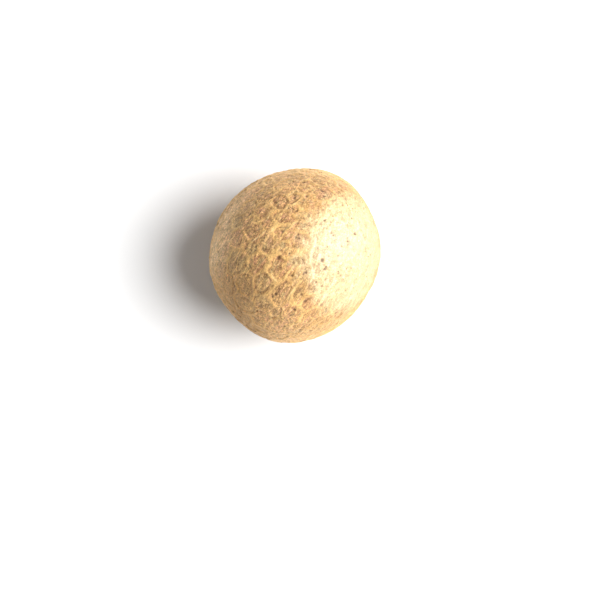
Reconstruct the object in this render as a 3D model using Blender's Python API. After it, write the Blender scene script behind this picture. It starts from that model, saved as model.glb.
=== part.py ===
"""A husked betel nut that lies on its side, with the raised net of its skin in relief.

Metres, +Z up. The origin is on the surface that the nut rests on, under the middle of its box.
The growth axis runs from the hilum, the scar at the base, up to the rounded apex.
"""

import math

import bmesh
import bpy
import numpy as np
from mathutils import Matrix, Vector

MM = 0.001
NAME = "betel_nut"

# The body: a ball drawn out a little along its growth axis
HALF_LENGTH = 16.7 * MM
HALF_WIDTH = 15.25 * MM
AXIS_HEADING = math.radians(60)
AXIS_LEAN = math.radians(24)
APEX_RISE = 0.36 * MM
APEX_SPREAD = 0.10
BASE_FLATTENING = 0.55 * MM
BASE_SPREAD = 0.09
SWELL_HEIGHT = 0.04 * MM
SWELL_COUNT = 9
SWELL_WAVES = (2.0, 5.5)

# Fuller and flatter sides: heading and rise in degrees, height in millimetres, reach in degrees
SIDES = (
    (318, 12, -0.66, 44),
    (353, 8, 0.26, 22),
    (32, 10, -0.38, 20),
    (98, 4, -0.34, 24),
    (162, 12, 0.36, 30),
    (194, 0, 0.40, 16),
    (220, -4, -0.58, 28),
    (276, 4, -0.36, 26),
)

# The flat spot it rests on, and the reach over which the net is worn away round it
FLAT_RADIUS = 3.2 * MM
WORN_RADIUS = 7.0 * MM
CUT_SLACK = 0.0001 * MM

# The net: cells between raised veins, drawn out along the growth axis
CELL_COUNT = 440
CELL_STRETCH = 1.7
CELL_TRIES = 24
CELL_CLEARANCE = 1.15 * MM
VEIN_HALF_WIDTH = 0.36 * MM
VEIN_WIDTH_SPREAD = 0.25
LARGEST_VEIN_SHARE = 0.40
CELL_DEPTH = 0.30 * MM
CELL_DEPTH_SPREAD = 0.35
CELL_DEPTH_LEAST = 0.06 * MM
SEED = 11

# The smooth patch on the side to the right, where the net nearly dies out
SMOOTH_MIDDLE = Vector((0.72, -0.02, 0.69)).normalized()
SMOOTH_CORE = 0.16
SMOOTH_EDGE = 0.34
SMOOTH_SHARE = 0.35

# The hilum at the base: a lip round a shallow dish with a low boss
HILUM_RADIUS = 2.9 * MM
HILUM_NEIGHBOURS = 15
HILUM_STEPS = ((0.22, 0.45 * MM), (0.35, 0.60 * MM), (0.45, 0.35 * MM))

# Steps of the search for the surface over a place in plan, and the least share of its height
PLAN_STEPS = 4
LEAST_HEIGHT_SHARE = 0.01

# How far from the unit ball a corner may be and still count as lying on it
ON_BALL_SLACK = 0.05

# Middles of the cells that show best from above, in millimetres right of and above the middle
SEEN_CELLS = (
    (-10.6, 5.8), (-10.6, 2.6), (-5.2, 5.4), (-5.9, 10.7), (-3.0, 9.1), (-5.6, 7.9),
    (-2.4, 4.1), (-2.2, 6.6), (-0.5, 7.9), (-0.2, 10.0), (1.6, 12.3), (5.0, 10.5),
    (6.4, 12.9), (-1.7, 1.3), (-5.0, 1.8), (-8.0, 1.1), (-10.4, -1.1), (-9.4, -5.2),
    (-2.6, -6.9), (-6.1, -8.8), (-5.5, -10.9), (-8.8, -8.6), (1.1, -4.0), (-0.1, -7.1),
    (2.1, -8.7), (-0.8, -10.7), (-3.4, -10.2), (1.5, -0.9), (4.6, -1.1), (3.4, -5.6),
    (6.2, -5.2), (1.7, 6.6), (4.1, 7.7), (2.1, 9.5), (4.5, 4.6), (1.9, 4.9), (-12.7, 0.9),
    (-12.4, 4.6), (-13.3, -2.4), (-12.1, -5.6), (-8.4, 8.6), (-10.8, 8.5), (-8.1, 11.3),
    (-4.1, 12.5), (-1.4, 12.3), (7.2, 2.8), (8.1, 7.0), (-3.8, -13.2), (-0.9, -13.6),
    (3.8, -11.9), (7.2, -1.6),
)
SEEN_ROOM = 1.7 * MM

# The largest of them, each with the room that it keeps free of cells that aren't read
LARGE_CELLS = (
    (-2.1, -2.4, 3.1), (-6.0, -5.3, 2.5), (-6.9, -1.2, 2.5), (-7.7, 4.4, 2.5), (0.6, 2.7, 2.4),
)

# The skin
SKIN_COLOUR = (0.56, 0.34, 0.16, 1.0)
SKIN_ROUGHNESS = 0.72
SHARP_ANGLE = math.radians(50)

AXIS = Vector(
    (
        math.cos(AXIS_HEADING) * math.cos(AXIS_LEAN),
        math.sin(AXIS_HEADING) * math.cos(AXIS_LEAN),
        math.sin(AXIS_LEAN),
    )
)
NET_SQUEEZE = 1 / CELL_STRETCH


def clear_scene():
    for item in list(bpy.data.objects):
        bpy.data.objects.remove(item, do_unlink=True)


def smooth_step(low, high, value):
    share = min(max((value - low) / (high - low), 0.0), 1.0)
    return share * share * (3 - 2 * share)


def swells():
    """Wave vectors and phases of the slight unevenness of the body."""
    draw = np.random.default_rng(SEED)
    ways = draw.normal(size=(SWELL_COUNT, 3))
    ways /= np.linalg.norm(ways, axis=1)[:, None]
    lengths = draw.uniform(*SWELL_WAVES, size=SWELL_COUNT)
    phases = draw.uniform(0, 2 * math.pi, size=SWELL_COUNT)
    return [(Vector(way * length), phase) for way, length, phase in zip(ways, lengths, phases)]


def side_ways():
    """Unit direction, height and narrowness of each fuller or flatter side."""
    found = []
    for heading, rise, height, reach in SIDES:
        flat = math.cos(math.radians(rise))
        across = math.cos(math.radians(heading)) * flat
        away = math.sin(math.radians(heading)) * flat
        way = Vector((across, away, math.sin(math.radians(rise))))
        found.append((way, height * MM, 1 / (1 - math.cos(math.radians(reach)))))
    return found


SWELLS = swells()
SIDE_WAYS = side_ways()


def body_radius(way):
    """Distance from the middle to the tops of the veins, along a unit direction."""
    along = way.dot(AXIS)
    across = 1 - along * along
    radius = 1 / math.sqrt((along / HALF_LENGTH) ** 2 + across / HALF_WIDTH**2)
    radius += APEX_RISE * math.exp(-(1 - along) / APEX_SPREAD)
    radius -= BASE_FLATTENING * math.exp(-(((1 + along) / BASE_SPREAD) ** 2))
    for side, height, narrowness in SIDE_WAYS:
        radius += height * math.exp(-(1 - way.dot(side)) * narrowness)
    for wave, phase in SWELLS:
        radius += SWELL_HEIGHT * math.cos(way.dot(wave) + phase)
    return radius


def way_seen_from_above(right, up):
    """Unit direction of the point of the body's top that lies over a place in plan."""
    reach = HALF_WIDTH
    for _ in range(PLAN_STEPS):
        square = reach * reach
        height = math.sqrt(max(square - right * right - up * up, square * LEAST_HEIGHT_SHARE))
        way = Vector((right, up, height)).normalized()
        reach = body_radius(way)
    return way


def squeezed(way):
    """A direction in the space where the net's cells are as wide as long."""
    return way - AXIS * way.dot(AXIS) * (1 - NET_SQUEEZE)


def ring_round_hilum():
    """Unit directions of the cells that meet the hilum's lip, even steps round it."""
    base = -AXIS
    side = base.orthogonal().normalized()
    slant = 2 * HILUM_RADIUS / HALF_WIDTH
    for i in range(HILUM_NEIGHBOURS):
        out = Matrix.Rotation(2 * math.pi * i / HILUM_NEIGHBOURS, 3, base) @ side
        yield base * math.cos(slant) + out * math.sin(slant)


def cell_middles():
    """Squeezed directions of the middles of all cells, the hilum's first."""
    middles = [squeezed(-AXIS)]
    middles += [squeezed(way) for way in ring_round_hilum()]
    rooms = [2 * HILUM_RADIUS] + [CELL_CLEARANCE] * HILUM_NEIGHBOURS
    for x, y in SEEN_CELLS:
        middles.append(squeezed(way_seen_from_above(x * MM, y * MM)))
        rooms.append(SEEN_ROOM)
    for x, y, room in LARGE_CELLS:
        middles.append(squeezed(way_seen_from_above(x * MM, y * MM)))
        rooms.append(room * MM)
    draw = np.random.default_rng(SEED + 1)
    while len(middles) < CELL_COUNT:
        found, kept = np.array(middles), np.array(rooms) / HALF_WIDTH
        ways = draw.normal(size=(CELL_TRIES, 3))
        best, best_gap = None, 0.0
        for way in ways / np.linalg.norm(ways, axis=1)[:, None]:
            place = squeezed(Vector(way))
            gap = (np.linalg.norm(found - np.array(place), axis=1) - kept).min()
            if gap > best_gap:
                best, best_gap = place, gap
        if best:
            middles.append(best)
            rooms.append(CELL_CLEARANCE)
    return middles


def add_dual(tree):
    """Links of a node tree that turns a mesh into its dual: a cell round each point."""
    start = tree.nodes.new("NodeGroupInput")
    dual = tree.nodes.new("GeometryNodeDualMesh")
    end = tree.nodes.new("NodeGroupOutput")
    tree.links.new(start.outputs[0], dual.inputs[0])
    tree.links.new(dual.outputs[0], end.inputs[0])


def net_of_cells(middles):
    """A closed mesh with one polygon for each cell, its corners unit directions."""
    hull = bmesh.new()
    for middle in middles:
        hull.verts.new(middle)
    bmesh.ops.convex_hull(hull, input=hull.verts)
    bmesh.ops.recalc_face_normals(hull, faces=hull.faces)
    mesh = bpy.data.meshes.new("cell_middles")
    hull.to_mesh(mesh)
    hull.free()
    guide = bpy.data.objects.new("cell_middles", mesh)
    bpy.context.scene.collection.objects.link(guide)
    tree = bpy.data.node_groups.new("cells_round_points", "GeometryNodeTree")
    tree.interface.new_socket("Geometry", in_out="INPUT", socket_type="NodeSocketGeometry")
    tree.interface.new_socket("Geometry", in_out="OUTPUT", socket_type="NodeSocketGeometry")
    add_dual(tree)
    guide.modifiers.new("cells", "NODES").node_group = tree
    evaluated = guide.evaluated_get(bpy.context.evaluated_depsgraph_get())
    cells = bmesh.new()
    cells.from_mesh(evaluated.to_mesh())
    evaluated.to_mesh_clear()
    bpy.data.objects.remove(guide, do_unlink=True)
    bpy.data.meshes.remove(mesh)
    for vert in cells.verts:
        stretched = vert.co + AXIS * vert.co.dot(AXIS) * (CELL_STRETCH - 1)
        vert.co = stretched.normalized()
    bmesh.ops.recalc_face_normals(cells, faces=cells.faces)
    return cells


def relief_share(way):
    """How much of its full depth a cell has here: less on the smooth patch, none where it rests."""
    off_patch = 1 - way.dot(SMOOTH_MIDDLE)
    patch = SMOOTH_SHARE + (1 - SMOOTH_SHARE) * smooth_step(SMOOTH_CORE, SMOOTH_EDGE, off_patch)
    from_foot = math.hypot(way.x, way.y) * HALF_WIDTH if way.z < 0 else WORN_RADIUS
    return patch * smooth_step(FLAT_RADIUS, WORN_RADIUS, from_foot)


def sink(verts, middle, share, depth):
    """Draws the corners of a cell's floor in towards its middle, and sets them at a depth."""
    for vert in verts:
        way = vert.co.lerp(middle, share).normalized()
        vert.co = way * (body_radius(way) - depth)


def sink_cells(mesh, cells, draw):
    """Insets each cell and sinks its floor, which leaves the veins raised between them."""
    bmesh.ops.inset_individual(mesh, faces=cells, thickness=0.0)
    for cell in cells:
        middle = cell.calc_center_median()
        way = middle.normalized()
        spans = [edge.verts[0].co + edge.verts[1].co - 2 * middle for edge in cell.edges]
        reach = min(span.length for span in spans) / 2
        vein = VEIN_HALF_WIDTH * (1 + VEIN_WIDTH_SPREAD * draw.uniform(-1, 1))
        share = min(vein / (reach * HALF_WIDTH), LARGEST_VEIN_SHARE)
        depth = CELL_DEPTH * (1 + CELL_DEPTH_SPREAD * draw.uniform(-1, 1)) * relief_share(way)
        sink(cell.verts, middle, share, max(depth, CELL_DEPTH_LEAST * relief_share(way)))


def shape_hilum(mesh, cell):
    """Turns the round cell at the base into a dish with a lip and a low boss."""
    for share, depth in HILUM_STEPS:
        bmesh.ops.inset_individual(mesh, faces=[cell], thickness=0.0)
        sink(cell.verts, cell.calc_center_median(), share, depth)


def cut_flat_spot(mesh):
    """Cuts the foot of the nut off level, and closes it with one flat face."""
    lowest = min(vert.co.z for vert in mesh.verts)
    level = lowest + FLAT_RADIUS**2 / (2 * HALF_WIDTH)
    everything = mesh.verts[:] + mesh.edges[:] + mesh.faces[:]
    bmesh.ops.bisect_plane(
        mesh,
        geom=everything,
        dist=CUT_SLACK,
        plane_co=(0, 0, level),
        plane_no=(0, 0, -1),
        clear_outer=True,
    )
    rim = [edge for edge in mesh.edges if edge.is_boundary]
    bmesh.ops.contextual_create(mesh, geom=rim)
    return level


def build_nut():
    mesh = net_of_cells(cell_middles())
    draw = np.random.default_rng(SEED + 2)
    mesh.faces.ensure_lookup_table()
    hilum = min(mesh.faces, key=lambda face: face.calc_center_median().normalized().dot(AXIS))
    cells = [face for face in mesh.faces if face is not hilum]
    sink_cells(mesh, cells, draw)
    for vert in mesh.verts:
        if abs(vert.co.length - 1) < ON_BALL_SLACK:
            vert.co = vert.co.normalized() * body_radius(vert.co.normalized())
    shape_hilum(mesh, hilum)
    level = cut_flat_spot(mesh)
    xs = [vert.co.x for vert in mesh.verts]
    ys = [vert.co.y for vert in mesh.verts]
    middle = Vector(((min(xs) + max(xs)) / 2, (min(ys) + max(ys)) / 2, level))
    bmesh.ops.transform(mesh, matrix=Matrix.Translation(-middle), verts=mesh.verts)
    bmesh.ops.triangulate(mesh, faces=mesh.faces)
    bmesh.ops.recalc_face_normals(mesh, faces=mesh.faces)
    data = bpy.data.meshes.new(NAME)
    mesh.to_mesh(data)
    mesh.free()
    data.shade_smooth()
    data.set_sharp_from_angle(angle=SHARP_ANGLE)
    return bpy.data.objects.new(NAME, data)


def skin_material():
    material = bpy.data.materials.new("nut_skin")
    material.use_nodes = True
    shader = material.node_tree.nodes["Principled BSDF"]
    shader.inputs["Base Color"].default_value = SKIN_COLOUR
    shader.inputs["Roughness"].default_value = SKIN_ROUGHNESS
    shader.inputs["Metallic"].default_value = 0.0
    return material


def main():
    clear_scene()
    nut = build_nut()
    nut.data.materials.append(skin_material())
    collection = bpy.data.collections.new(NAME)
    bpy.context.scene.collection.children.link(collection)
    collection.objects.link(nut)


main()
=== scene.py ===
"""Looks of a husked betel nut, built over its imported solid.

The skin is rebuilt finely over the solid: its body, net of veins and cells are read from the
solid, and the long fibres, pits, cracks and grain that are too fine for it are added here.
Metres, +Z up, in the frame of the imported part.
"""

import math

import bmesh
import bpy
import numpy as np
from bpy.props import FloatProperty, FloatVectorProperty, IntProperty, PointerProperty
from mathutils import Matrix, Vector, noise
from mathutils.bvhtree import BVHTree
from mathutils.kdtree import KDTree


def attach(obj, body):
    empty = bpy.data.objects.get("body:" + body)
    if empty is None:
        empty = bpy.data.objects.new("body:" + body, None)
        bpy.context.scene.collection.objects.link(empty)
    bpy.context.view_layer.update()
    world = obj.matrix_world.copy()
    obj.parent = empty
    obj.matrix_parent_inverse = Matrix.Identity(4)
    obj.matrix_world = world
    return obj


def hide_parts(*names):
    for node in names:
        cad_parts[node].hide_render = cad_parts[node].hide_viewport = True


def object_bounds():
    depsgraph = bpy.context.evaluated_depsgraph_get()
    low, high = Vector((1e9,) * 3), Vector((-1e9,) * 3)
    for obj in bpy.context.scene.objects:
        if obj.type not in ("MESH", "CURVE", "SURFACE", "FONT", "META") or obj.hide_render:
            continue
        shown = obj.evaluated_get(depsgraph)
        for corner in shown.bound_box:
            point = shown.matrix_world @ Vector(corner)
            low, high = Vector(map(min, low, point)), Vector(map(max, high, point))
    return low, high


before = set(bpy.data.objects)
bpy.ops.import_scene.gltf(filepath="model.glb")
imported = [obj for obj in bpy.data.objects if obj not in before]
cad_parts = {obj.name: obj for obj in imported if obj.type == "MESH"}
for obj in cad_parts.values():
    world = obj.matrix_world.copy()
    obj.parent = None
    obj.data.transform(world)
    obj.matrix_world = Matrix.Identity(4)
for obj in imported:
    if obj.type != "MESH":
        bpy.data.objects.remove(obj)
CAD_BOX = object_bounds()

bl_info = {
    "name": "Betel nut",
    "version": (1, 0, 0),
    "blender": (4, 5, 0),
    "location": "3D View > Sidebar > Betel nut",
    "description": "Builds the netted skin of a husked betel nut and the stage it lies on",
    "category": "Object",
}

MM = 0.001
TURN = 2 * math.pi
NODE = "betel_nut"
SKIN = "betel_nut_skin"
FLOOR = "pale_floor"

# The body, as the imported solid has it
MIDDLE = (CAD_BOX[0] + CAD_BOX[1]) / 2
BODY_RADIUS = 15.6 * MM
GROWTH_HEADING = math.radians(60)
GROWTH_LEAN = math.radians(24)

# Reading the solid: the crests of its veins, and the smooth body over them
WELD = 0.001 * MM
CREST_ANGLE = math.radians(12)
CREST_STEP = 0.1 * MM
BODY_SPREAD = 0.12
BODY_EASE = 1e-6
CHUNK = 4000

# The fine skin: rows of faces along a side of its cube, and least depth under the solid's veins
ROWS = 126
MARGIN = 0.02 * MM

# The flat foot is plain to the first distance from its middle, and blends in to the second
FOOT_EDGE = (3.2 * MM, 7.0 * MM)

# Pale patch where the key light falls, a smooth worn area of the skin with painted highlight on it:
# middle, then where it is full, where it ends and where its calm ends, each as one less the
# cosine of the angle from the middle. The calm is painted highlight that washes out the marks
PATCH_MIDDLE = Vector((0.72, -0.02, 0.69)).normalized()
PATCH_CORE = 0.15
PATCH_EDGE = 0.33
SOFT_EDGE = 0.66
NEAR_PATCH_CALM = 0.6

# The hidden side starts at this share of the body's radius over its middle. There the veins are
# thinner, firmer and stronger, and the cells deeper and darker.
HIDDEN_HEIGHT = 0.42
HIDDEN_THINNING = 0.28
HIDDEN_FIRMNESS = 0.7
HIDDEN_STRENGTH = 0.16
HIDDEN_DEPTH = 0.60
HIDDEN_DARKNESS = 0.30

# Where the net is clearest from above, in millimetres, how far around, and the swell of its veins
CLEAREST_NET = (-4.5, -1.5)
CLEAR_REACH = 6.0
CLEAR_SWELL = 0.30

# Veins: least width and strength, what firmness adds to it, and how little of it may show
LEAST_WIDTH = 0.35
LEAST_STRENGTH = 0.34
FIRM_STRENGTH = 0.50
LEAST_SHOWN = 0.60

# Cells: deepest, spread of depths, share of depth on the seen side, rise of their middles, tints
DEEPEST_CELL = 0.45 * MM
DEPTH_SPREAD = (0.7, 1.1)
SEEN_DEPTH = 0.65
CELL_RISE = 0.35
CELL_DARKNESS = (0.20, 0.92)
CELL_TINT = 0.75
VEIN_SHADE = 0.35

# The hilum: radius, where its scar and dish fade out as shares of it, then its boss, and its lip
# and moat in millimetres beyond the radius
HILUM_RADIUS = 2.9 * MM
SCAR_EDGE = (0.96, 1.15)
DISH_EDGE = (0.74, 0.95)
BOSS_RADIUS = 0.75 * MM
LIP, LIP_WIDTH = 0.05, 0.32
MOAT, MOAT_WIDTH = 0.75, 0.28
DISH_DEPTH = 0.16 * MM
MOAT_DEPTH = 0.12 * MM
CRACK_DEPTH = 0.22 * MM
RAY_HEIGHT = 0.09 * MM
SCAR_GRAIN = 0.07 * MM

# Cracks across the hilum and rays round it, in millimetres from its middle
CRACK_COUNT = 12
RAY_COUNT = 30
CRACK_START = (0.2, 1.2)
CRACK_END = (1.6, 4.6)
CRACK_HALF_WIDTH = (0.09, 0.15)

# Curves on the skin: step of their points, and widths of those that show from above
CURVE_STEP = 0.12 * MM
FIBRE_WIDTH = 0.25 * MM
FURROW_WIDTH = 0.20 * MM
HAIR_WIDTH = 0.12 * MM

# Fibres that fan out from the hilum, from least to most in millimetres
FAN_COUNT = 46
FAN_START = (2.6, 3.4)
FAN_LENGTH = (2.0, 9.0)
FAN_FIBRE_WIDTH = (0.10, 0.18)

# Fibres that run from base to apex, from least to most in millimetres, and their sway
WILD_LENGTH = (3, 15)
WILD_WAVE = (1.5, 4.0)
WILD_FIBRE_WIDTH = (0.10, 0.19)
WILD_SLANT = 0.22
WILD_SWING = (0.15, 0.5)

# Pits besides the ones that show from above: radius in millimetres and darkness
PIT_RADIUS = (0.10, 0.26)
PIT_DARKNESS = (0.2, 0.8)

# Noise waves on the skin by what they vary: size in millimetres, shift and share of each
WAVES = {
    "patch edge": ((3.5, 2.1, 0.05), (1.1, 2.6, 0.025)),
    "vein width": ((1.9, 8.8, 0.6), (0.7, 3.9, 0.3)),
    "vein firmness": ((2.4, 5.5, 1.0),),
    "vein strength": ((5.0, 7.3, 1.0),),
    "grain": ((0.55, 1.7, 0.6), (1.3, 6.4, 0.4)),
    "hilum edge": ((0.9, 9.9, 1.0),),
    "rim gaps": ((1.7, 3.2, 1.0),),
    "hair gaps": ((0.8, 15.1, 1.0),),
    "blot edge": ((0.9, 13.7, 0.5),),
}
WANDER_WAVES = ((2.2, 11.3, 1.0), (0.9, 4.7, 0.5), (0.45, 8.1, 0.15))
NOISE_GAIN = 1.4

# Grains of the material: run, size in millimetres, detail, roughness and distortion. Grown and
# drawn ones are longer along the growth axis by the factor in RUNS.
RUNS = {"grown": 4.5, "drawn": 9.0}
GRAINS = {
    "mottle": ("even", 2.6, 2.0, 0.55, 0.0),
    "blotch": ("even", 1.2, 3.0, 0.6, 0.0),
    "speck": ("even", 0.38, 3.0, 0.65, 0.0),
    "grit": ("even", 0.22, 3.0, 0.7, 0.0),
    "fine": ("even", 0.13, 2.0, 0.6, 0.0),
    "blush": ("grown", 1.0, 3.0, 0.6, 0.0),
    "lichen": ("grown", 0.8, 3.0, 0.6, 0.3),
    "wide streak": ("grown", 0.5, 2.0, 0.6, 0.0),
    "streak": ("grown", 0.20, 2.0, 0.6, 0.0),
    "strand": ("drawn", 0.30, 1.0, 0.5, 0.6),
    "thread": ("drawn", 0.15, 1.0, 0.5, 0.5),
}

# Scattered dots of the material: run and spacing in millimetres
DOTS = {"pore": ("even", 1.05), "stipple": ("even", 0.46), "fleck": ("grown", 0.34)}

# Bands of the material: from low to high of a grain, dot or field, and the outcome at each
BANDS = {
    "cell shade": (0.32, 0.62, 0.4, 1.5),
    "broad shade": (0.40, 0.60, -0.30, 0.55),
    "reddish cell": (0.35, 0.62, 0.3, 1.0),
    "blush": (0.50, 0.62, 0.0, 0.90),
    "greenish cell": (0.35, 0.62, 1.0, 0.35),
    "lichen": (0.53, 0.64, 0.0, 0.80),
    "vein": (0.65, 1.20, 1.0, 0.0),
    "fibre": (0.30, 0.60, 0.55, 1.0),
    "pale strand": (0.57, 0.70, 0.0, 0.50),
    "pale thread": (0.59, 0.65, 0.0, 0.75),
    "fleck": (0.12, 0.30, 0.6, 0.0),
    "fleck places": (0.45, 0.60, 0.0, 1.0),
    "rim start": (0.85, 1.20, 0.0, 1.0),
    "rim end": (1.35, 2.10, 1.0, 0.0),
    "shade_and_specks": (0.35, 0.6, 0.50, 0.85),
    "stipple": (0.13, 0.27, 0.9, 0.0),
    "stipple places": (0.42, 0.60, 0.15, 1.0),
    "dark grit": (0.34, 0.43, 0.55, 0.0),
    "dark strand": (0.31, 0.42, 0.42, 0.0),
    "dark thread": (0.33, 0.41, 0.55, 0.0),
    "highlight_patch": (0.35, 0.62, 0.80, 0.50),
    "pale_rim_light": (0.35, 0.62, 0.68, 0.38),
    "scar": (0.3, 0.65, 0.55, 0.95),
    "scar ray": (0.2, 0.8, 1.0, 0.45),
    "pore": (0.08, 0.20, 1.0, 0.0),
    "pore places": (0.40, 0.60, 0.0, 0.8),
}
TONES = {
    "fine": (0.25, 0.75, 0.66, 1.34),
    "grit": (0.27, 0.73, 0.68, 1.33),
    "streak": (0.27, 0.73, 0.78, 1.20),
    "wide streak": (0.27, 0.73, 0.70, 1.26),
}
SPECK_BAND = (0.30, 0.70)

# How far each grain frays the edges of the veins, in half widths of a vein
FRAYS = {"grit": 0.30, "wide streak": 0.25, "speck": 0.25}

# Broad areas seen from above: right of and above the middle and reach in millimetres, then how
# much darker, paler and browner than the rest. All three are painted light: darker is painted
# shade, most of it on the left and towards the rims, with negative amounts painting light; paler
# is painted rim light on the left flank; browner is painted shade on the lower-left flank
AREAS = (
    (-0.2, 13.8, 4.0, 0.3, 0.0, 0.0), (-6.0, 10.0, 4.0, 0.2, 0.0, 0.0),
    (-14.0, 3.0, 4.5, 0.0, 0.75, 0.0), (-15.0, -1.0, 3.0, 0.0, 0.75, 0.0),
    (-12.0, 8.5, 4.0, 0.0, 0.55, 0.0), (-10.4, 6.4, 2.1, 0.85, 0.0, 0.2),
    (-11.8, -0.5, 2.4, 0.55, 0.0, 0.2), (-7.6, -6.2, 3.0, 0.45, 0.0, 0.25),
    (-10.8, -6.4, 3.0, 0.5, 0.0, 0.5), (-10.3, -10.0, 4.0, 0.45, 0.0, 0.8),
    (-7.0, -13.6, 4.0, 0.8, 0.0, 0.95), (-13.5, -6.5, 3.5, 0.05, 0.0, 0.6),
    (2.5, -14.5, 4.0, 0.1, 0.0, 0.35), (-3.8, 0.2, 1.8, -0.15, 0.0, 0.0),
    (1.3, -5.6, 2.5, 0.35, 0.0, 0.0), (5.6, 10.1, 2.5, 0.4, 0.0, 0.0),
    (1.0, -9.8, 3.0, -0.2, 0.0, 0.0),
)

# Long fibres that show from above, as points in millimetres right of and above the middle
SEEN_FIBRES = (
    ((-8.6, -2.0), (-8.6, 0.5), (-8.2, 1.9), (-6.6, 3.0), (-5.0, 4.1), (-3.6, 5.3), (-2.7, 6.9),
     (-1.4, 8.0), (0.7, 9.3), (2.0, 10.9), (3.9, 11.6)),
    ((-3.9, -3.6), (-3.6, -0.4), (-3.2, 1.4), (-2.3, 3.2), (-0.9, 4.6), (0.5, 6.4)),
    ((-4.5, -2.7), (-3.6, -4.7), (-2.3, -4.7), (-0.7, -2.7), (0.5, -1.3)),
    ((-7.5, -7.2), (-5.4, -7.4), (-4.1, -6.3), (-3.2, -5.2)),
    ((-1.6, -8.3), (0.2, -5.8), (2.0, -4.0)),
    ((2.5, -2.7), (2.7, 0.1), (3.4, 2.3), (3.9, 5.5), (5.4, 6.6), (7.3, 8.0)),
    ((-5.7, 8.7), (-3.9, 10.5), (-2.5, 11.4), (-0.9, 12.7)),
    ((2.0, -7.4), (3.9, -7.0), (4.5, -7.4)),
    ((-4.2, 4.0), (-3.5, 5.2), (-2.9, 6.9)),
    ((-7.6, -3.7), (-7.7, -5.8), (-7.3, -7.3)),
    ((-7.5, 5.5), (-6.4, 5.9), (-5.3, 6.4)),
    ((-5.0, 6.9), (-4.3, 7.6), (-3.6, 8.2)),
    ((-3.6, 10.7), (-2.5, 11.5), (-1.2, 12.4)),
    ((-2.7, 3.3), (-1.9, 3.8), (-1.3, 4.2)),
    ((-1.3, 5.1), (0.0, 5.6), (1.0, 6.0)),
    ((-8.9, -0.2), (-8.6, -1.3), (-8.1, -2.3)),
    ((-10.7, -3.4), (-9.4, -3.2), (-8.1, -3.4)),
    ((-4.5, -7.2), (-3.8, -6.0), (-3.1, -4.9)),
    ((-0.9, -7.7), (-0.1, -6.6), (0.7, -5.4)),
)

# Thin hairs, and furrows whose darkness is painted shadow beside fibres and cells, that show from
# above, as points like those of the fibres
SEEN_HAIRS = (
    ((-0.2, -3.1), (0.3, -3.9), (0.9, -4.7)),
    ((0.5, -2.9), (1.0, -3.7), (1.6, -4.5)),
    ((-0.7, -3.8), (-0.1, -4.6), (0.5, -5.4)),
    ((-4.4, 3.7), (-3.8, 4.7), (-3.2, 5.6)),
    ((-7.9, 2.2), (-6.4, 3.3), (-5.0, 4.4)),
    ((-13.8, 0.2), (-12.6, 1.8), (-11.2, 3.2)),
    ((-2.0, 9.2), (-1.1, 10.3), (0.1, 11.2)),
    ((-5.6, 5.6), (-4.9, 6.4), (-4.2, 7.6)),
    ((-1.4, 8.0), (-0.4, 8.7), (0.7, 9.3)),
    ((-4.5, -2.7), (-3.6, -4.7), (-2.3, -4.7)),
    ((-1.6, -8.3), (-0.7, -7.0), (0.2, -5.8)),
)
SEEN_FURROWS = (
    ((-3.6, -4.0), (-3.8, -2.7), (-3.4, -1.1), (-2.7, -0.4), (-1.4, -0.2), (-0.2, -0.4)),
    ((-0.7, 3.0), (-0.5, 1.9), (0.5, 1.2), (1.4, 1.9)),
    ((-3.1, 1.0), (-3.1, 1.9), (-2.5, 2.5)),
    ((-6.1, 1.9), (-5.9, 1.0), (-5.0, 0.5), (-4.5, 1.4), (-4.7, 2.8)),
    ((-8.3, -1.1), (-8.2, -2.2), (-7.3, -2.9)),
    ((-7.3, -4.9), (-6.8, -4.0), (-5.7, -3.6), (-4.7, -4.3),
     (-4.5, -5.2), (-5.0, -6.3), (-6.1, -6.9), (-7.0, -6.3)),
    ((-8.8, 4.8), (-8.6, 3.7), (-7.7, 2.5), (-6.6, 3.0), (-5.9, 4.1)),
    ((-7.5, 2.1), (-5.9, 3.2), (-4.3, 4.8)),
    ((-3.6, -6.7), (-3.2, -7.9), (-2.3, -7.4)),
    ((1.6, -8.8), (2.7, -7.9)),
    ((-1.1, -10.8), (0.0, -9.9)),
    ((0.9, 12.3), (2.3, 12.5), (3.2, 12.1)),
    ((9.1, 2.8), (9.4, 2.1), (9.2, 1.2)),
    ((-14.0, 1.8), (-12.5, 3.6), (-10.7, 5.0)),
    ((-1.8, 10.1), (-0.7, 9.0), (0.7, 9.6)),
    ((-4.9, 9.4), (-4.0, 10.3), (-2.7, 10.7)),
)

# Smooth golden blots of vein that show from above: right of and above the middle, and radius
SEEN_BLOTS = (
    (0.9, 0.3, 0.9), (-5.0, -2.2, 0.7), (-8.7, -1.4, 0.5), (-3.7, 0.5, 0.6), (-7.4, 6.2, 0.5),
    (-3.2, -3.9, 0.5), (-5.0, 8.6, 0.5),
)

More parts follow.
